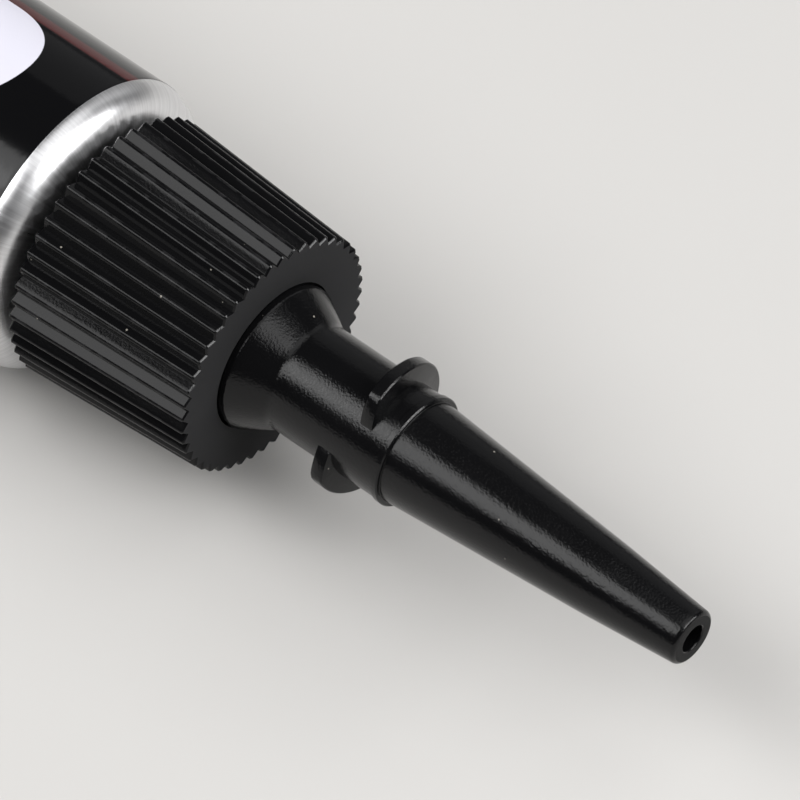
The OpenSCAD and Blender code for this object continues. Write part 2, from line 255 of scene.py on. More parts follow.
class Finishes(bpy.types.PropertyGroup):
    """Colours and surfaces."""

    plastic: colour("Plastic", "Colour of the moulded plastic", (0.003, 0.003, 0.0033))
    plastic_gloss: share("Plastic Roughness", "Roughness of the spout", 0.13)
    collar_gloss: share("Collar Roughness", "Roughness of the collar", 0.13)
    plastic_shine: share("Plastic Shine", "Specular level of the spout", 0.25)
    collar_shine: share("Collar Shine", "Specular level of the collar", 0.18)
    face_matt: share("Face Roughness", "Roughness added on the front faces of collar and spout", 0.55)
    peel_size: length("Peel Size", "Grain of the moulded surface", 0.16 * MM)
    peel_depth: length("Peel Depth", "Depth of the moulded surface's grain", 0.019 * MM)
    collar_peel: share("Collar Peel", "Share of that depth on the collar", 0.25)
    broad_size: length("Broad Size", "Size of the moulded surface's broader waves", 1.44 * MM)
    broad_share: share("Broad Share", "Height of the broader waves beside the grain", 0.8)
    smear_size: length("Smear Size", "Size of the smears on the plastic", 6 * MM)
    smear_gloss: share("Smear Roughness", "Range of roughness in smears on plastic and enamel", 0.12)
    smear_tint: number("Smear Tint", "How much lighter a smear on the plastic is", 1.7)
    # On the rib crests this colour is real wear; on the collar's whole front face it is a painted sheen, lighter
    # than the plastic.
    marks_and_sheen: colour("Marks And Sheen", "Colour of the collar's worn rib crests and front face", (0.022, 0.022, 0.023))
    wear_gloss: share("Wear Roughness", "Roughness added where the plastic is worn", 0.15)
    wear_share: share("Wear Share", "How much of the worn colour a rib's crest takes", 0.55)
    wear_size: length("Wear Size", "Size of the worn patches", 1.3 * MM)
    wear_depth: length("Wear Depth", "How far the wear reaches down from a rib's crest", 0.07 * MM)
    dust: colour("Dust", "Colour of the dust specks", (0.32, 0.3, 0.26))
    dust_cell: length("Dust Cell", "Distance between places that may hold a speck", 1.6 * MM)
    dust_size: length("Dust Size", "Radius of a speck", 0.09 * MM)
    dust_rarity: share("Dust Rarity", "Share of the places that hold no speck", 0.6)
    enamel: colour("Enamel", "Colour of the enamel", (0.004, 0.004, 0.0045))
    enamel_gloss: share("Enamel Roughness", "Roughness of the enamel", 0.11)
    enamel_shine: share("Enamel Shine", "Specular level of the enamel", 0.2)
    panel: colour("Panel", "Colour of the printed panel", (0.76, 0.75, 0.84))
    band: colour("Band", "Colour of the band in the panel", (0.012, 0.03, 0.1))
    line: colour("Line", "Colour of the printed line", (0.06, 0.005, 0.006))
    metal: colour("Metal", "Colour of the bare metal", (0.83, 0.83, 0.84))
    metal_gloss: share("Metal Roughness", "Roughness of the bare metal", 0.34)
    streak_tint: share("Streak Tint", "How dark the metal's streaks are", 0.86)
    lacquer: colour("Lacquer", "Colour of the lacquer inside", (0.45, 0.28, 0.06))
    latex: colour("Latex", "Colour of the sealing band", (0.7, 0.62, 0.43))
    glue: colour("Glue", "Colour of the glue", (0.78, 0.82, 0.78))


class StageSettings(bpy.types.PropertyGroup):
    """The floor, the camera and the lights."""

    floor: colour("Floor", "Colour of the floor", (0.65, 0.637, 0.618))
    surround: colour("Surround", "Colour of the dim room", (0.05, 0.05, 0.052))
    floor_size: length("Floor Size", "Half the width of the floor", 6.0)
    aim: numbers("Aim", "What the camera looks at", subtype="TRANSLATION",
                 default=(FACE_X + 7.72 * MM, 3.80 * MM, AXIS_Z - 1.88 * MM))
    azimuth: angle("Azimuth", "Turn of the camera from the front", 41.3)
    elevation: angle("Elevation", "Height of the camera", 50.0)
    distance: length("Distance", "Distance of the camera", 526.3 * MM)
    lens: number("Lens", "Focal length of the camera", 360.0, unit="CAMERA")
    lamp_distance: length("Lamp Distance", "Distance of the softboxes from the aim", 0.9)


def softbox_properties(light, source, run, sides, level):
    """The four properties of one softbox, by name."""
    title = light.title()
    return {
        f"{light}_from": numbers(f"{title} From", "Where the softbox stands", source, subtype="DIRECTION"),
        f"{light}_run": numbers(f"{title} Run", "Way that its first side runs", run, subtype="DIRECTION"),
        f"{light}_size": numbers(f"{title} Size", "Sides of the softbox", sides, unit="LENGTH"),
        f"{light}_level": number(f"{title} Level", "Brightness of the softbox", level),
    }


# Where each softbox stands, the way that its first side runs, its two sides and its brightness
SOFTBOXES = {
    "key": ((-0.34, -0.569, 0.7487), (0.823, -0.565, -0.054), (0.64, 0.48), 4.3),
    "top": ((0.132, 0.13, 0.98), (1.0, 0.0, 0.0), (0.49, 0.95), 1.25),
    "front": ((0.715, 0.223, 0.662), (0.204, 0.835, -0.511), (1.05, 0.5), 2.8),
    "edge": ((0.84, 0.26, 0.47), (-0.268, 0.958, -0.091), (0.8, 0.1), 14.0),
    "side": ((0.02, 0.80, 0.60), (1.0, 0.0, 0.0), (0.28, 0.7), 0.3),
    "fill": ((-0.70, -0.35, 0.62), (0.0, 1.0, 0.0), (0.5, 0.45), 2.8),
    "back": ((-0.424, 0.80, 0.42), (1.0, 0.0, 0.0), (1.2, 0.65), 0.24),
}
for light_name, light_values in SOFTBOXES.items():
    StageSettings.__annotations__.update(softbox_properties(light_name, *light_values))

GROUPS = {
    "tube_wall": WallSizes,
    "tube_print": PrintSizes,
    "tube_head": HeadSizes,
    "tube_collar": CollarSizes,
    "tube_spout": SpoutSizes,
    "tube_finish": Finishes,
    "tube_stage": StageSettings,
}


def arithmetic(operation, reflected=False):
    """A method that adds one Math node to the graph of a wire."""

    def apply(wire, other):
        operands = (other, wire) if reflected else (wire, other)
        return wire.graph.math(operation, *operands)

    return apply


class Wire:
    """A socket that takes part in arithmetic."""

    def __init__(self, graph, socket):
        self.graph = graph
        self.socket = socket

    __add__ = arithmetic("ADD")
    __radd__ = arithmetic("ADD", reflected=True)
    __sub__ = arithmetic("SUBTRACT")
    __rsub__ = arithmetic("SUBTRACT", reflected=True)
    __mul__ = arithmetic("MULTIPLY")
    __rmul__ = arithmetic("MULTIPLY", reflected=True)
    __truediv__ = arithmetic("DIVIDE")
    __rtruediv__ = arithmetic("DIVIDE", reflected=True)
    at_least = arithmetic("MAXIMUM")

    def __abs__(self):
        return self.graph.math("ABSOLUTE", self)

    def ramp(self, start, end):
        """A smooth step from 0 at start to 1 at end."""
        settings = {"interpolation_type": "SMOOTHSTEP"}
        sockets = {"Value": self, "From Min": start, "From Max": end}
        return self.graph.node("ShaderNodeMapRange", settings, sockets, "Result")

    def sway(self, reach):
        """A noise's value as a change about 0, over a given range."""
        return (self - 0.5) * reach


class Graph:
    """Adds nodes to a tree and links them."""

    def __init__(self, tree):
        self.tree = tree

    def node(self, kind, settings=None, sockets=None, result=0):
        """Adds a node: its settings come first, then the values and links of its inputs.

        Returns one of its outputs as a wire.
        """
        made = self.tree.nodes.new(kind)
        for name, value in (settings or {}).items():
            setattr(made, name, value)
        self.fill(made, sockets or {})
        return Wire(self, made.outputs[result]) if made.outputs else None

    def fill(self, node, sockets):
        """Links wires to a node's inputs, and sets its other values."""
        for name, value in sockets.items():
            if isinstance(value, Wire):
                self.tree.links.new(value.socket, node.inputs[name])
            else:
                node.inputs[name].default_value = value

    def math(self, operation, *operands):
        """One Math node."""
        return self.node("ShaderNodeMath", {"operation": operation}, dict(enumerate(operands)))

    def combine(self, x, y, z):
        """A vector from three values."""
        return self.node("ShaderNodeCombineXYZ", None, {"X": x, "Y": y, "Z": z})

    def split(self, vector):
        """The three values of a vector."""
        first = self.node("ShaderNodeSeparateXYZ", None, {"Vector": vector})
        return [Wire(self, socket) for socket in first.socket.node.outputs]

    def blend(self, factor, first, second):
        """A colour between two others. A Mix node's sockets share names, so they go by number."""
        factor_socket, first_socket, second_socket, result = 0, 6, 7, 2
        sockets = {factor_socket: factor, first_socket: first, second_socket: second}
        return self.node("ShaderNodeMix", {"data_type": "RGBA"}, sockets, result)

    def grain(self, vector, size, detail=2.0, roughness=0.5):
        """The value of a noise texture with features of a given size."""
        sockets = {"Vector": vector, "Scale": 1.0 / size, "Detail": detail, "Roughness": roughness}
        return self.node("ShaderNodeTexNoise", None, sockets, "Fac")

    def bump(self, height, distance, strength=1.0, normal=None):
        """A normal from a height, whose full range is the distance."""
        sockets = {"Height": height, "Distance": distance, "Strength": strength}
        if normal:
            sockets["Normal"] = normal
        return self.node("ShaderNodeBump", None, sockets, "Normal")


def rgba(value, factor=1.0):
    """A colour property, darker or lighter by a factor, as the four numbers that a socket takes."""
    return (*(factor * part for part in value), 1.0)


def new_material(name):
    """An empty surface: the material, its graph, its shader and the place on the piece in metres."""
    material = bpy.data.materials.new(name)
    material.use_nodes = True
    material.node_tree.nodes.clear()
    graph = Graph(material.node_tree)
    surface = graph.node("ShaderNodeBsdfPrincipled")
    graph.node("ShaderNodeOutputMaterial", None, {"Surface": surface})
    place = graph.node("ShaderNodeTexCoord", None, None, "Object")
    return material, graph, surface.socket.node, place


def around_axis(graph, place):
    """The distance along the tube's axis, the distance from it and the direction from it."""
    shortest = 0.1 * MM
    along, y, z = graph.split(place)
    up = z - AXIS_Z
    out = graph.math("SQRT", y * y + up * up).at_least(shortest)
    return along, out, graph.combine(0.0, y / out, up / out)


def dust_specks(graph, place):
    """1 on a few small specks, 0 elsewhere."""
    core = 0.6
    sharp = 0.01
    finish = bpy.context.scene.tube_finish
    sockets = {"Vector": place, "Scale": 1.0 / finish.dust_cell}
    near = graph.node("ShaderNodeTexVoronoi", None, sockets, "Distance")
    picked = Wire(graph, near.socket.node.outputs["Color"])
    chance = graph.split(picked)[0]
    radius = finish.dust_size / finish.dust_cell
    spots = 1.0 - near.ramp(core * radius, radius)
    return spots * chance.ramp(finish.dust_rarity, finish.dust_rarity + sharp)


def collar_wear_and_face_sheen(graph, place, face):
    """1 on the collar's front face, where it paints a sheen, less on scuffed patches of its rib crests, which are
    real wear, 0 elsewhere.
    """
    core = 0.4
    patch_levels = (0.48, 0.6)
    collar = bpy.context.scene.tube_collar
    finish = bpy.context.scene.tube_finish
    taper = (collar.back_radius - collar.front_radius) / (FACE_X - COLLAR_BACK)
    along, out, _ = around_axis(graph, place)
    below = collar.back_radius - (along - COLLAR_BACK) * taper - out
    crests = 1.0 - below.ramp(core * finish.wear_depth, finish.wear_depth)
    patches = graph.grain(place, finish.wear_size, detail=3.0, roughness=0.6).ramp(*patch_levels)
    # The front face takes the mask in full: a painted sheen there, real wear on the crests.
    return (crests * patches * finish.wear_share).at_least(face)


def plastic_material(name, gloss, shine, peel_depth, face, wear_and_sheen=None):
    """Black moulded plastic with a fine grain, faint smears and a little dust.

    Its front face, at a place along the tube, is matt.
    Without a mask of wear and painted sheen it is rougher only under its dust; with one, the mask also takes a
    lighter colour.
    """
    face_depth = 0.02 * MM
    finish = bpy.context.scene.tube_finish
    material, graph, shader, place = new_material(name)
    fine = graph.grain(place, finish.peel_size, roughness=0.55)
    broad = graph.grain(place, finish.broad_size)
    smear = graph.grain(place, finish.smear_size, detail=3.0)
    specks = dust_specks(graph, place)
    matt = graph.split(place)[0].ramp(face - face_depth, face - face_depth / 2)
    marks_and_sheen = wear_and_sheen(graph, place, matt) if wear_and_sheen else specks
    shade = graph.blend(smear, rgba(finish.plastic), rgba(finish.plastic, finish.smear_tint))
    # The lighter colour is real wear on the collar's rib crests and a painted sheen on its front face.
    shade = graph.blend(marks_and_sheen, shade, rgba(finish.marks_and_sheen))
    scuffs = smear.sway(finish.smear_gloss) + marks_and_sheen * finish.wear_gloss
    graph.fill(shader, {
        "Base Color": graph.blend(specks, shade, rgba(finish.dust)),
        "Roughness": gloss + scuffs + matt * finish.face_matt,
        "Normal": graph.bump(fine + broad * finish.broad_share, peel_depth),
        "IOR": GLOSS_IOR,
        "Specular IOR Level": shine,
    })
    return material


def metal_material(name):
    """Bright drawn aluminium with soft streaks out from the neck and faint turned rings."""
    streak_size = 1.0 / 55.0
    streak_levels = (0.35, 0.7)
    streak_depth = 0.012 * MM
    ring_size = 0.12 * MM
    ring_depth = 0.004 * MM
    streak_gloss = 0.16
    cloud_size = 2.2 * MM
    cloud_gloss = 0.14
    finish = bpy.context.scene.tube_finish
    material, graph, shader, place = new_material(name)
    along, out, turned = around_axis(graph, place)
    streaks = graph.grain(turned, streak_size, detail=3.0, roughness=0.6)
    rings = graph.grain(graph.combine(out + along, 0.0, 0.0), ring_size, roughness=0.6)
    clouds = graph.grain(place, cloud_size, detail=3.0)
    dark = rgba(finish.metal, finish.streak_tint)
    relief = graph.bump(streaks, streak_depth, strength=0.5)
    graph.fill(shader, {
        "Base Color": graph.blend(streaks.ramp(*streak_levels), dark, rgba(finish.metal)),
        "Roughness": finish.metal_gloss + clouds.sway(cloud_gloss) + streaks.sway(streak_gloss),
        "Normal": graph.bump(rings, ring_depth, strength=0.6, normal=relief),
        "Metallic": 1.0,
    })
    return material


def round_box(across, along, half_sides, flat, soft):
    """1 inside a long shape with round ends about the origin, 0 outside."""
    corner = half_sides[0] - flat
    beside = (abs(across) - flat).at_least(0.0)
    beyond = (abs(along) - (half_sides[1] - corner)).at_least(0.0)
    distance = beside.graph.math("SQRT", beside * beside + beyond * beyond)
    return 1.0 - distance.ramp(corner - soft, corner + soft)


def enamel_material(name):
    """Gloss black enamel with a plain printed panel, a band inside it and a thin line beside it."""
    smear_size = 7 * MM
    grain_size = 0.5 * MM
    grain_depth = 0.004 * MM
    print_height = 0.5
    finish = bpy.context.scene.tube_finish
    design = bpy.context.scene.tube_print
    soft = design.soft
    material, graph, shader, place = new_material(name)
    across, along, _ = graph.split(graph.node("ShaderNodeUVMap", {"uv_map": WALL_LAYOUT}))
    beside = across - design.shift
    beyond = along - design.middle
    panel = round_box(beside, beyond, design.panel, design.flat, soft)
    band = round_box(beside, beyond, design.band, design.flat, soft)
    line = 1.0 - abs(across - design.line_place).ramp(design.line_half - soft, design.line_half + soft)
    smear = graph.grain(place, smear_size, detail=3.0)
    fine = graph.grain(place, grain_size)
    shade = graph.blend(line, rgba(finish.enamel), rgba(finish.line))
    shade = graph.blend(panel, shade, rgba(finish.panel))
    graph.fill(shader, {
        "Base Color": graph.blend(band, shade, rgba(finish.band)),
        "Roughness": finish.enamel_gloss + smear.sway(finish.smear_gloss),
        "Normal": graph.bump(fine + panel * print_height, grain_depth),
        "IOR": GLOSS_IOR,
        "Specular IOR Level": finish.enamel_shine,
    })
    return material


def film_material(name, tint, gloss, cloud_size):
    """A thin film or filling with a slightly uneven colour."""
    darker = 0.8
    uneven = 0.15
    material, graph, shader, place = new_material(name)
    clouds = graph.grain(place, cloud_size, detail=3.0)
    graph.fill(shader, {
        "Base Color": graph.blend(clouds, rgba(tint, darker), rgba(tint)),
        "Roughness": gloss + clouds.sway(uneven),
    })
    return material


def floor_material(name):
    """A pale plain floor."""
    cloud_size = 60 * MM
    darker = 0.94
    floor = bpy.context.scene.tube_stage.floor
    material, graph, shader, place = new_material(name)
    clouds = graph.grain(place, cloud_size)
    graph.fill(shader, {
        "Base Color": graph.blend(clouds, rgba(floor, darker), rgba(floor)),
        "Roughness": 0.7,
    })
    return material


def skin(rings, close_along=False):
    """The points and quads of a skin over closed rings of points."""
    count = len(rings[0])
    points = [point for ring in rings for point in ring]
    last = len(rings) if close_along else len(rings) - 1
    faces = []
    for i in range(last):
        near = i * count
        far = (i + 1) % len(rings) * count
        for j in range(count):
            k = (j + 1) % count
            faces.append((near + j, near + k, far + k, far + j))
    return points, faces


def capped_skin(rings):
    """A skin over rings of points, closed by a face at each end."""
    points, faces = skin(rings)
    count = len(rings[0])
    faces.append(tuple(range(count)))
    faces.append(tuple(range(len(points) - count, len(points))))
    return points, faces


def rounded(corners, steps):
    """The points of a closed outline, from corners given as (along, out, radius)."""
    points = []
    for i, (along, out, radius) in enumerate(corners):
        corner = Vector((along, out))
        if radius == 0:
            points.append(corner)
            continue
        before = (Vector(corners[i - 1][:2]) - corner).normalized()
        after = (Vector(corners[(i + 1) % len(corners)][:2]) - corner).normalized()
        half = before.angle(after) / 2
        centre = corner + (before + after).normalized() * radius / math.sin(half)
        first = corner + before * radius / math.tan(half) - centre
        last = corner + after * radius / math.tan(half) - centre
        start = math.atan2(first.y, first.x)
        turn = math.remainder(math.atan2(last.y, last.x) - start, math.tau)
        points += arc(centre, radius, start, turn, steps)
    return points


def arc(centre, radius, start, turn, steps):
    """Points on an arc, from a start angle through a turn."""
    angles = [start + turn * step / steps for step in range(steps + 1)]
    return [centre + radius * Vector((math.cos(a), math.sin(a))) for a in angles]


def divided(points, longest):
    """A closed outline with no side longer than a given length."""
    result = []
    for i, point in enumerate(points):
        following = points[(i + 1) % len(points)]
        parts = max(1, math.ceil((following - point).length / longest))
        result += [point.lerp(following, part / parts) for part in range(parts)]
    return result


def on_axis(along, out, turn):
    """A point at a distance from the tube's axis, turned from +Y towards +Z."""
    return Vector((along, out * math.cos(turn), AXIS_Z + out * math.sin(turn)))


def lathe(outline, columns):
    """The skin of a closed half section turned about the tube's axis."""
    turns = [math.tau * column / columns for column in range(columns)]
    rings = [[on_axis(point.x, point.y, turn) for point in outline] for turn in turns]
    return skin(rings, close_along=True)


def wound_ridge(section, surface, start, turn, pitch, sweep, ramp, sunk, inward=False):
    """A ridge wound about the axis, whose ends slant down until they are under the surface.

    Its section is (along, height) points above the surface, and its base is sunk below that.
    """
    end_share = 0.6
    steps = math.ceil(sweep / WINDING_STEP)
    full = sunk + max(height for _, height in section)
    low = end_share * sunk
    rings = []
    for step in range(steps + 1):
        turned = sweep * step / steps
        rise = min(1.0, turned / ramp, (sweep - turned) / ramp)
        grown = (low + (full - low) * rise) / full
        ring = []
        for along, height in section:
            tall = (height + sunk) * grown - sunk
            out = surface - tall if inward else surface + tall
            ring.append(on_axis(start + along + pitch * turned / math.tau, out, turn + turned))
        rings.append(ring)
    return capped_skin(rings)


def new_object(name, points, faces, material):
    """An object in the scene with one material."""
    mesh = bpy.data.meshes.new(name)
    mesh.from_pydata(points, [], faces)
    mesh.materials.append(material)
    piece = bpy.data.objects.new(name, mesh)
    bpy.context.scene.collection.objects.link(piece)
    return piece


def make_piece(name, shells, material, crease):
    """A smooth object from closed shells, with edges sharper than the crease kept sharp."""
    points = []
    faces = []
    for shell_points, shell_faces in shells:
        base = len(points)
        points += shell_points
        faces += [tuple(base + i for i in face) for face in shell_faces]
    piece = new_object(name, points, faces, material)
    settle(piece.data, crease)
    return piece


def settle(mesh, crease):
    """Merges doubles, turns the faces outwards and shades the mesh smooth up to the crease angle."""
    work = bmesh.new()
    work.from_mesh(mesh)
    bmesh.ops.remove_doubles(work, verts=work.verts, dist=DOUBLES)
    bmesh.ops.recalc_face_normals(work, faces=work.faces)
    work.to_mesh(mesh)
    work.free()
    mesh.shade_smooth()
    mesh.set_sharp_from_angle(angle=crease)


def declare(piece, body, node):
    """Puts a piece on the body that it rides on and hides the node that it stands for."""
    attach(piece, body)
    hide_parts(node)


def screw_thread(head, surface, shift, turns, inward=False):
    """The thread on the neck or, moved along by a shift, the one inside the collar."""
    sunk = 0.2 * MM
    edge = 0.08 * MM
    base = head.thread_base
    crest = head.thread_crest
    tall = head.thread_height
    corners = [(-base, -sunk, 0), (-crest, tall, edge), (crest, tall, edge), (base, -sunk, 0)]
    mouth = FACE_X - head.mouth_depth
    start = mouth - head.thread_pitch * (head.neck_turns + head.plain_turns) + shift
    return wound_ridge(rounded(corners, THREAD_STEPS), surface, start, -math.pi / 2, head.thread_pitch,
                       math.tau * turns, head.thread_fade, sunk, inward)


def flat_share(wall, along):
    """How far the wall is flattened at a place along the axis, from 0 to 1."""
    knee = bpy.context.scene.tube_head.edge_place - wall.round_length
    return max(0.0, (knee - along) / (knee - WALL_BACK)) ** wall.flatten_power


def edge_drop(along):
    """How far the wall follows the shoulder's rounded edge inwards at a place along the axis."""
    head = bpy.context.scene.tube_head
    past = along - (head.edge_place - head.edge * math.tan(math.pi / 4 - head.slope / 2))
    return head.edge - math.sqrt(head.edge ** 2 - max(0.0, past) ** 2)


def wall_ring(wall, along, outer, columns, waves):
    """One outline of the wall: two half circles joined by straight stretches that keep its girth."""
    deepest = 0.4
    middle = wall.radius - wall.enamel - wall.gap - edge_drop(along)
    half = middle - (middle - wall.tail / 2) * flat_share(wall, along)
    flat = math.pi / 2 * (middle - half)
    radius = half + outer
    girth = math.tau * radius + 4 * flat
    ring = []
    for column in range(columns):
        run = girth * column / columns
        side = 1
        if run > girth / 2:
            run = girth - run
            side = -1
        if run < flat:
            across, up = run, -radius
        elif run < flat + math.pi * radius:
            turn = (run - flat) / radius - math.pi / 2
            across, up = flat + radius * math.cos(turn), radius * math.sin(turn)
        else:
            across, up = 2 * flat + math.pi * radius - run, radius
        point = Vector((along, side * across, up))
        if waves:
            inwards = Vector((0, -math.copysign(min(abs(point.y), radius), point.y), -up)).normalized()
            dent = 0.5 + 0.5 * noise.noise(point / wall.wave_length, noise_basis="PERLIN_ORIGINAL")
            point += inwards * min(waves * dent, deepest * half)
        ring.append(point + Vector((0, 0, AXIS_Z)))
    return ring


def wall_places(wall, front):
    """Places along the wall from front to back, closer at the front edge and where it flattens."""
    edge_rows = 8
    edge_length = 1 * MM
    edge = front - edge_length
    knee = front - wall.round_length
    rounds = math.ceil((edge - knee) / (2 * WALL_STEP))
    flats = math.ceil((knee - WALL_BACK) / WALL_STEP)
    places = [front + (edge - front) * i / edge_rows for i in range(edge_rows)]
    places += [edge + (knee - edge) * i / rounds for i in range(rounds)]
    return places + [knee + (WALL_BACK - knee) * i / flats for i in range(flats + 1)]


def wall_sleeve(wall, front, outer, inner, columns):
    """A closed sleeve of the wall between two offsets from its metal surface."""
    places = wall_places(wall, front)

    def waves(along):
        grown = max(0.0, (front - along) / wall.wave_front)
        faded = max(0.0, (along - WALL_BACK) / wall.wave_back)
        return wall.waves * min(1.0, grown, faded)

    rings = [wall_ring(wall, along, outer, columns, waves(along)) for along in places]
    rings += [wall_ring(wall, along, inner, columns, waves(along)) for along in reversed(places)]
    return skin(rings, close_along=True)


def lay_flat(mesh, girth, columns):
    """Gives a sleeve its flat layout: the distance round the wall from its top, and the place along it."""
    layout = mesh.uv_layers.new(name=WALL_LAYOUT)
    for polygon in mesh.polygons:
        corners = [index % columns for index in polygon.vertices]
        wraps = max(corners) - min(corners) > 1
        for loop, vertex, column in zip(polygon.loop_indices, polygon.vertices, corners):
            turned = columns if wraps and column == 0 else column
            layout.data[loop].uv = ((0.5 - turned / columns) * girth, mesh.vertices[vertex].co.x)


def fold_path(wall):
    """The middle line of the folded strip, from the wall to its free end: (along, up) points."""
    outer_steps = 16
    inner_steps = 12
    step = wall.strip + wall.fold_gap
    back = METAL_BOX[0].x + step + wall.strip / 2
    turn_back = WALL_BACK - wall.strip_length - step / 2 - wall.strip / 2
    path = [Vector((WALL_BACK + HAIR, 0)), Vector((turn_back, 0))]
    path += arc(Vector((back, step)), step, -math.pi / 2, -math.pi, outer_steps)
    path += arc(Vector((turn_back, 1.5 * step)), step / 2, math.pi / 2, -math.pi, inner_steps)
    return path + [Vector((back, step))]


def fold_strip(wall):
    """The tail's strip, rolled over itself and pressed with crimp lines."""
    path = fold_path(wall)
    half_width = math.pi / 2 * (wall.radius - wall.enamel - wall.gap - wall.tail / 2)
    columns = round(2 * half_width / wall.crimp_pitch) * CRIMP_COLUMNS
    rings = []
    for column in range(columns + 1):
        across = -half_width + 2 * half_width * column / columns
        press = 0.5 - 0.5 * math.cos(math.tau * column / CRIMP_COLUMNS)
        half = wall.strip / 2 * (1 - wall.crimp_share * press)
        upper = []
        lower = []
        for i, point in enumerate(path):
            before = path[max(i - 1, 0)]
            after = path[min(i + 1, len(path) - 1)]
            run = (after - before).normalized()
            side = Vector((-run.y, run.x)) * half
            upper.append(Vector((point.x + side.x, across, AXIS_Z + point.y + side.y)))
            lower.append(Vector((point.x - side.x, across, AXIS_Z + point.y - side.y)))
        rings.append(upper + lower[::-1])
    return capped_skin(rings)


def head_outline(head):
    """The half section of the shoulder and the neck."""
    rim_edge = 0.02 * MM
    neck_fillet = 0.4 * MM
    mouth_edge = 0.3 * MM
    mouth_fillet = 0.2 * MM
    bore_fillet = 0.3 * MM
    edge = head.edge_place
    mouth = FACE_X - head.mouth_depth
    steep = math.tan(head.slope)
    drop = head.thickness / math.cos(head.slope)
    inner = head.rim_radius - head.thickness
    neck_foot = edge + (head.rim_radius - head.neck_radius) * steep
    bore_foot = edge + (head.rim_radius - head.bore_radius) * steep - drop
    inner_corner = edge + head.thickness * steep - drop
    corners = [
        (WALL_FRONT, inner, 0),
        (WALL_FRONT, head.rim_radius, rim_edge),
        (edge, head.rim_radius, head.edge),
        (neck_foot, head.neck_radius, neck_fillet),
        (mouth, head.neck_radius, mouth_edge),
        (mouth, head.pierce_radius, 0),
        (mouth - head.membrane, head.pierce_radius, 0),
        (mouth - head.membrane, head.bore_radius, mouth_fillet),
        (bore_foot, head.bore_radius, bore_fillet),
        (inner_corner, inner, 0),
    ]
    return divided(rounded(corners, CORNER_STEPS), HEAD_STEP)


def rib_columns(collar, crest, inset):
    """One rib's outline square to the axis, from root to root: (distance from the axis, turn) pairs."""
    flank = math.radians(45)
    arc_steps = 4
    side_steps = 3
    angles = [flank * i / arc_steps for i in range(arc_steps + 1)]
    radius = collar.crest - inset
    half = [(crest - collar.crest + radius * math.cos(a), radius * math.sin(a)) for a in angles]
    out, across = half[-1]
    slope = math.tan(math.pi / collar.rib_count)
    root = (out + across) / (1 + slope)
    foot = root * slope
    parts = [i / side_steps for i in range(1, side_steps + 1)]
    half += [(out + (root - out) * part, across + (foot - across) * part) for part in parts]
    whole = [(out, -across) for out, across in reversed(half[1:])] + half
    return [(math.hypot(out, across), math.atan2(across, out)) for out, across in whole]


def rib_rows(collar):
    """The rows of one rib from the back to the front, with bevelled ends: (along, out, turn) points."""
    # A bevel meets the rib in a short rounding, a share of its length, which eases it by a part of that
    rounding = 0.14
    eased = 0.25
    middles = 12
    end = collar.rib_end
    span = FACE_X - COLLAR_BACK - 2 * end
    taper = (collar.back_radius - collar.front_radius) / span
    parts = [0.0, 0.5, 1 - rounding, 1 - rounding / 2, 1.0]
    places = [COLLAR_BACK + end * part for part in parts]
    places += [COLLAR_BACK + end + span * i / middles for i in range(1, middles)]
    places += [FACE_X - end * part for part in reversed(parts)]
    rows = []
    for along in places:
        crest = collar.back_radius - taper * (along - COLLAR_BACK - end)
        past = max(0.0, end - (along - COLLAR_BACK), end - (FACE_X - along)) / end
        inset = end * (past - eased * min(past, rounding))
        columns = rib_columns(collar, min(crest, collar.back_radius), inset)
        rows.append([(along, out, turn) for out, turn in columns])
    return rows


def collar_sector(collar):
    """One rib of the collar about the x axis, cut out of it from the middle of a groove to the next."""
    rib_depth = 0.9 * MM
    hole = collar.hole_radius
    edge = collar.edge
    bore = collar.bore_radius
    wall = FACE_X - collar.front_wall
    rows = rib_rows(collar)
    front_turns = [turn for _, _, turn in rows[-1]]
    back_turns = [turn for _, _, turn in rows[0]]
    front_side = [(FACE_X, collar.front_radius - rib_depth), (FACE_X, hole + edge),
                  (FACE_X - edge / 3, hole + edge / 3), (FACE_X - edge, hole), (wall, hole), (wall, bore)]
    back_side = [(wall - HAIR, bore), (COLLAR_BACK + collar.lead_in, bore),
                 (COLLAR_BACK, bore + collar.lead_in), (COLLAR_BACK, collar.back_radius - rib_depth)]
    rows += [[(along, out, turn) for turn in front_turns] for along, out in front_side]
    rows += [[(along, out, turn) for turn in back_turns] for along, out in back_side]
    points = []
    for row in rows:
        points += [(along, out * math.cos(turn), out * math.sin(turn)) for along, out, turn in row]
    count = len(rows[0])
    faces = []
    for i in range(len(rows)):
        near = i * count
        far = (i + 1) % len(rows) * count
        faces += [(near + j, near + j + 1, far + j + 1, far + j) for j in range(count - 1)]
    return points, faces


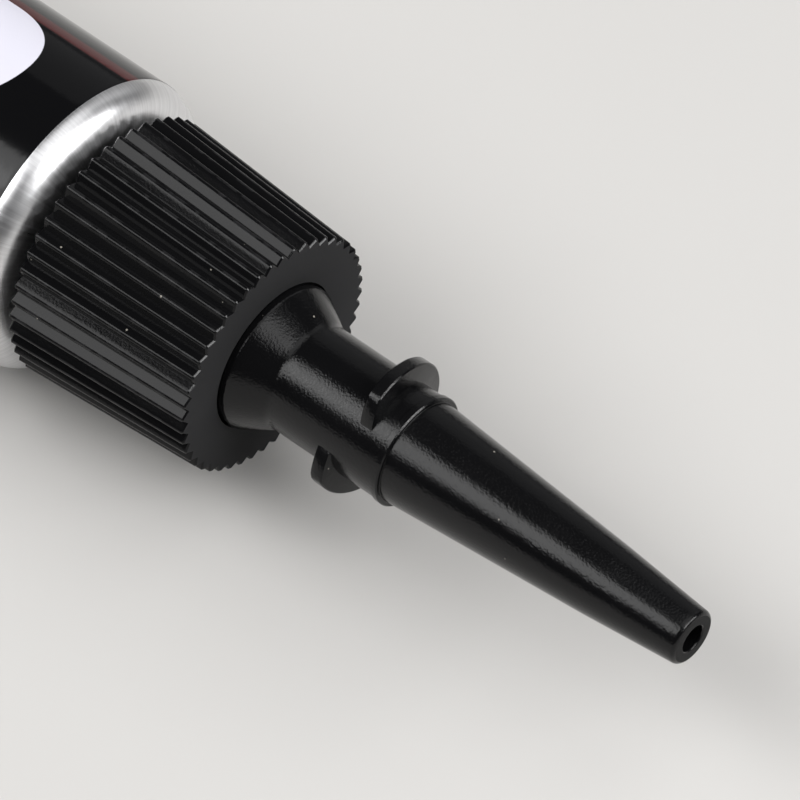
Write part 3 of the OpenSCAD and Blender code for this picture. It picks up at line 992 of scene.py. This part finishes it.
def rib_ring_tree():
    """Geometry nodes that repeat one rib round the axis and merge the copies into one ring."""
    tree = bpy.data.node_groups.new("Rib Ring", "GeometryNodeTree")
    inputs = {
        "Rib": "NodeSocketGeometry",
        "Count": "NodeSocketInt",
        "Axis Height": "NodeSocketFloat",
        "Merge Distance": "NodeSocketFloat",
        "Material": "NodeSocketMaterial",
    }
    for name, kind in inputs.items():
        tree.interface.new_socket(name, in_out="INPUT", socket_type=kind)
    tree.interface.new_socket("Ring", in_out="OUTPUT", socket_type="NodeSocketGeometry")
    graph = Graph(tree)
    first = graph.node("NodeGroupInput")
    given = {socket.name: Wire(graph, socket) for socket in first.socket.node.outputs}
    spots = graph.node("GeometryNodeMeshLine", None, {"Count": given["Count"], "Offset": (0.0, 0.0, 0.0)})
    turn = graph.node("GeometryNodeInputIndex") * math.tau / given["Count"]
    rotation = graph.node("FunctionNodeEulerToRotation", None, {"Euler": graph.combine(turn, 0.0, 0.0)})
    sockets = {"Points": spots, "Instance": given["Rib"], "Rotation": rotation}
    copies = graph.node("GeometryNodeInstanceOnPoints", None, sockets)
    ring = graph.node("GeometryNodeRealizeInstances", None, {"Geometry": copies})
    sockets = {"Geometry": ring, "Distance": given["Merge Distance"]}
    merged = graph.node("GeometryNodeMergeByDistance", None, sockets)
    lift = graph.combine(0.0, 0.0, given["Axis Height"])
    raised = graph.node("GeometryNodeTransform", None, {"Geometry": merged, "Translation": lift})
    sockets = {"Geometry": raised, "Material": given["Material"]}
    painted = graph.node("GeometryNodeSetMaterial", None, sockets)
    graph.node("NodeGroupOutput", None, {"Ring": painted})
    return tree


def bake_nodes(piece, tree, values):
    """Runs a geometry node tree on a piece and keeps the result as its mesh."""
    modifier = piece.modifiers.new(tree.name, "NODES")
    modifier.node_group = tree
    for item in tree.interface.items_tree:
        if item.in_out == "INPUT" and item.name in values:
            modifier[item.identifier] = values[item.name]
    graph = bpy.context.evaluated_depsgraph_get()
    baked = bpy.data.meshes.new_from_object(piece.evaluated_get(graph))
    piece.modifiers.remove(modifier)
    piece.data = baked


def add_shell(mesh, points, faces):
    """Adds a closed shell to a mesh."""
    work = bmesh.new()
    work.from_mesh(mesh)
    corners = [work.verts.new(point) for point in points]
    for face in faces:
        work.faces.new([corners[index] for index in face])
    work.to_mesh(mesh)
    work.free()


def spout_outline(spout):
    """The half section of the spout, outside and passage."""
    seat_fillet = 0.05 * MM
    ring_edge = 0.03 * MM
    cone_fillet = 0.04 * MM
    seat = FACE_X - bpy.context.scene.tube_collar.front_wall - HAIR
    back = seat - spout.flange
    hub_end = FACE_X + spout.hub_cone
    step_front = FACE_X + spout.stem_length
    step_back = step_front - spout.step_width
    ring = spout.stem_radius + spout.step_height
    bore = ORIFICE["r_mm"] * MM
    bore_back = TIP - ORIFICE["length_mm"] * MM
    corners = [
        (back, spout.flange_bore, spout.flange_edge),
        (back, spout.flange_radius, spout.flange_edge),
        (seat, spout.flange_radius, spout.flange_edge),
        (seat, spout.hub_radius, seat_fillet),
        (FACE_X + spout.hub_height, spout.hub_radius, spout.hub_edge),
        (hub_end, spout.stem_radius, spout.hub_fillet),
        (step_back, spout.stem_radius, 0),
        (step_back + spout.step_slant, ring, ring_edge),
        (step_front - spout.step_edge, ring, 0),
        (step_front, ring - spout.step_edge, 0),
        (step_front, spout.cone_radius, cone_fillet),
        (FACE_X + spout.knee_length, spout.knee_radius, spout.knee_bend),
        (TIP, spout.tip_radius, spout.tip_edge),
        (TIP, bore, spout.hole_edge),
        (bore_back, bore, 0),
        (step_back, spout.stem_bore, 0),
        (hub_end, spout.stem_bore, 0),
    ]
    return divided(rounded(corners, CORNER_STEPS), SPOUT_STEP)


def cap_ridge(spout):
    """The cap ridge: a wound ridge with bevelled edges."""
    sunk = 0.25 * MM
    tall = spout.ridge_height
    edge = spout.ridge_edge
    crest = spout.ridge_width / 2
    base = crest + spout.ridge_flare / 2
    foot = base + (base - crest) * sunk / tall
    corners = [(-foot, -sunk, 0), (-crest, tall, edge), (crest, tall, edge), (foot, -sunk, 0)]
    section = divided(rounded(corners, BEVEL_STEPS), RIDGE_STEP)
    start = FACE_X + spout.ridge_front - spout.ridge_pitch * spout.ridge_sweep / math.tau
    return wound_ridge(section, spout.stem_radius, start, spout.ridge_direction - spout.ridge_sweep,
                       spout.ridge_pitch, spout.ridge_sweep, spout.ridge_ramp, sunk)


def softbox(settings, light, aim):
    """A rectangular light, turned to the aim, whose face has a given brightness."""
    parts = ("from", "run", "size", "level")
    source, run, sides, level = (getattr(settings, f"{light}_{part}") for part in parts)
    away = Vector(source).normalized()
    across = away.cross(Vector(run)).normalized()
    name = f"{light.title()} Softbox"
    data = bpy.data.lights.new(name, "AREA")
    data.shape = "RECTANGLE"
    data.size, data.size_y = sides
    data.energy = level * math.pi * sides[0] * sides[1]
    lamp = bpy.data.objects.new(name, data)
    lamp.location = aim + away * settings.lamp_distance
    lamp.rotation_euler = Matrix((across.cross(away), across, away)).transposed().to_euler()
    bpy.context.scene.collection.objects.link(lamp)


def aimed_camera(settings, aim):
    """A camera that looks at the aim."""
    nearest = 10 * MM
    camera = bpy.data.objects.new("Camera", bpy.data.cameras.new("Camera"))
    flat = math.cos(settings.elevation)
    back = Vector((math.sin(settings.azimuth) * flat, -math.cos(settings.azimuth) * flat,
                   math.sin(settings.elevation)))
    camera.location = aim + back * settings.distance
    camera.rotation_euler = (-back).to_track_quat("-Z", "Y").to_euler()
    camera.data.lens = settings.lens
    camera.data.clip_start = nearest
    bpy.context.scene.collection.objects.link(camera)
    return camera


class GLUETUBE_OT_metal(bpy.types.Operator):
    """Builds the bare metal: shoulder, neck, wall and folded tail"""

    bl_idname = "gluetube.metal"
    bl_label = "Build Metal"

    def execute(self, context):
        wall = context.scene.tube_wall
        head = context.scene.tube_head
        shells = [
            lathe(head_outline(head), HEAD_COLUMNS),
            screw_thread(head, head.neck_radius, 0.0, head.neck_turns),
            wall_sleeve(wall, WALL_FRONT, 0.0, -wall.metal, METAL_COLUMNS),
            fold_strip(wall),
        ]
        piece = make_piece("tube_metal", shells, metal_material("Drawn Aluminium"), LAYER_CREASE)
        declare(piece, "tube", "tube_shell")
        return {"FINISHED"}


class GLUETUBE_OT_enamel(bpy.types.Operator):
    """Builds the enamel on the wall, with its printed panel"""

    bl_idname = "gluetube.enamel"
    bl_label = "Build Enamel"

    def execute(self, context):
        wall = context.scene.tube_wall
        front = WALL_FRONT + context.scene.tube_head.bare_back
        points, faces = wall_sleeve(wall, front, wall.gap + wall.enamel, wall.gap, ENAMEL_COLUMNS)
        piece = new_object("enamel_sleeve", points, faces, enamel_material("Black Enamel"))
        lay_flat(piece.data, math.tau * wall.radius, ENAMEL_COLUMNS)
        settle(piece.data, LAYER_CREASE)
        declare(piece, "tube", "enamel_coat")
        return {"FINISHED"}


class GLUETUBE_OT_collar(bpy.types.Operator):
    """Builds the ribbed collar: one rib repeated round the axis, and the thread inside"""

    bl_idname = "gluetube.collar"
    bl_label = "Build Collar"

    def execute(self, context):
        collar = context.scene.tube_collar
        head = context.scene.tube_head
        finish = context.scene.tube_finish
        peel_depth = finish.peel_depth * finish.collar_peel
        # Its mask paints a lighter sheen on the front face and wear on the rib crests.
        material = plastic_material("Collar Plastic", finish.collar_gloss, finish.collar_shine, peel_depth,
                                    FACE_X, collar_wear_and_face_sheen)
        piece = new_object("collar_body", *collar_sector(collar), material)
        bake_nodes(piece, rib_ring_tree(), {
            "Count": collar.rib_count,
            "Axis Height": AXIS_Z,
            "Merge Distance": RIB_DOUBLES,
            "Material": material,
        })
        shift = head.thread_pitch / 2
        thread = screw_thread(head, collar.bore_radius, shift, head.collar_turns, inward=True)
        add_shell(piece.data, *thread)
        settle(piece.data, COLLAR_CREASE)
        declare(piece, "collar", "collar")
        return {"FINISHED"}


class GLUETUBE_OT_spout(bpy.types.Operator):
    """Builds the spout and its cap ridge"""

    bl_idname = "gluetube.spout"
    bl_label = "Build Spout"

    def execute(self, context):
        spout = context.scene.tube_spout
        finish = context.scene.tube_finish
        material = plastic_material("Spout Plastic", finish.plastic_gloss, finish.plastic_shine,
                                    finish.peel_depth, TIP)
        shells = [lathe(spout_outline(spout), SPOUT_COLUMNS), cap_ridge(spout)]
        piece = make_piece("spout_nozzle", shells, material, SPOUT_CREASE)
        declare(piece, "spout", "spout")
        return {"FINISHED"}


class GLUETUBE_OT_fillings(bpy.types.Operator):
    """Paints the lacquer, the sealing band and the glue inside the tube"""

    bl_idname = "gluetube.fillings"
    bl_label = "Paint Fillings"

    def execute(self, context):
        finish = context.scene.tube_finish
        films = {
            "inner_lacquer": film_material("Golden Lacquer", finish.lacquer, gloss=0.2, cloud_size=4 * MM),
            "tail_sealant": film_material("Dried Latex", finish.latex, gloss=0.55, cloud_size=1 * MM),
            "glue_charge": film_material("Clear Glue", finish.glue, gloss=0.12, cloud_size=8 * MM),
        }
        for node, material in films.items():
            frame["nodes"][node].material_slots[0].material = material
        return {"FINISHED"}


class GLUETUBE_OT_stage(bpy.types.Operator):
    """Builds the floor, the softboxes, the dim surround and the camera"""

    bl_idname = "gluetube.stage"
    bl_label = "Build Stage"

    def execute(self, context):
        settings = context.scene.tube_stage
        aim = Vector(settings.aim)
        half = settings.floor_size
        corners = [(-half, -half, 0.0), (half, -half, 0.0), (half, half, 0.0), (-half, half, 0.0)]
        floor = new_object("floor", corners, [(0, 1, 2, 3)], floor_material("Pale Floor"))
        for light in SOFTBOXES:
            softbox(settings, light, aim)
        world = bpy.data.worlds.new("Dim Surround")
        world.use_nodes = True
        world.node_tree.nodes["Background"].inputs["Color"].default_value = rgba(settings.surround)
        context.scene.world = world
        context.scene.camera = aimed_camera(settings, aim)
        context.scene.view_settings.view_transform = "Standard"
        return {"FINISHED"}


class GLUETUBE_PT_panel(bpy.types.Panel):
    """Sizes, finishes and build steps of the glue tube"""

    bl_idname = "GLUETUBE_PT_panel"
    bl_label = "Glue Tube"
    bl_space_type = "VIEW_3D"
    bl_region_type = "UI"
    bl_category = "Glue Tube"

    def draw(self, context):
        for operator in OPERATORS:
            self.layout.operator(operator.bl_idname)
        for attribute, group in GROUPS.items():
            box = self.layout.box()
            box.label(text=group.__doc__)
            for name in group.__annotations__:
                box.prop(getattr(context.scene, attribute), name)


OPERATORS = (
    GLUETUBE_OT_metal,
    GLUETUBE_OT_enamel,
    GLUETUBE_OT_collar,
    GLUETUBE_OT_spout,
    GLUETUBE_OT_fillings,
    GLUETUBE_OT_stage,
)


def register():
    for attribute, group in GROUPS.items():
        bpy.utils.register_class(group)
        setattr(bpy.types.Scene, attribute, PointerProperty(type=group))
    for operator in OPERATORS:
        bpy.utils.register_class(operator)
    bpy.utils.register_class(GLUETUBE_PT_panel)


def unregister():
    bpy.utils.unregister_class(GLUETUBE_PT_panel)
    for operator in reversed(OPERATORS):
        bpy.utils.unregister_class(operator)
    for attribute, group in reversed(GROUPS.items()):
        delattr(bpy.types.Scene, attribute)
        bpy.utils.unregister_class(group)


def main():
    register()
    bpy.ops.gluetube.metal()
    bpy.ops.gluetube.enamel()
    bpy.ops.gluetube.collar()
    bpy.ops.gluetube.spout()
    bpy.ops.gluetube.fillings()
    bpy.ops.gluetube.stage()


if __name__ == "__main__":
    main()
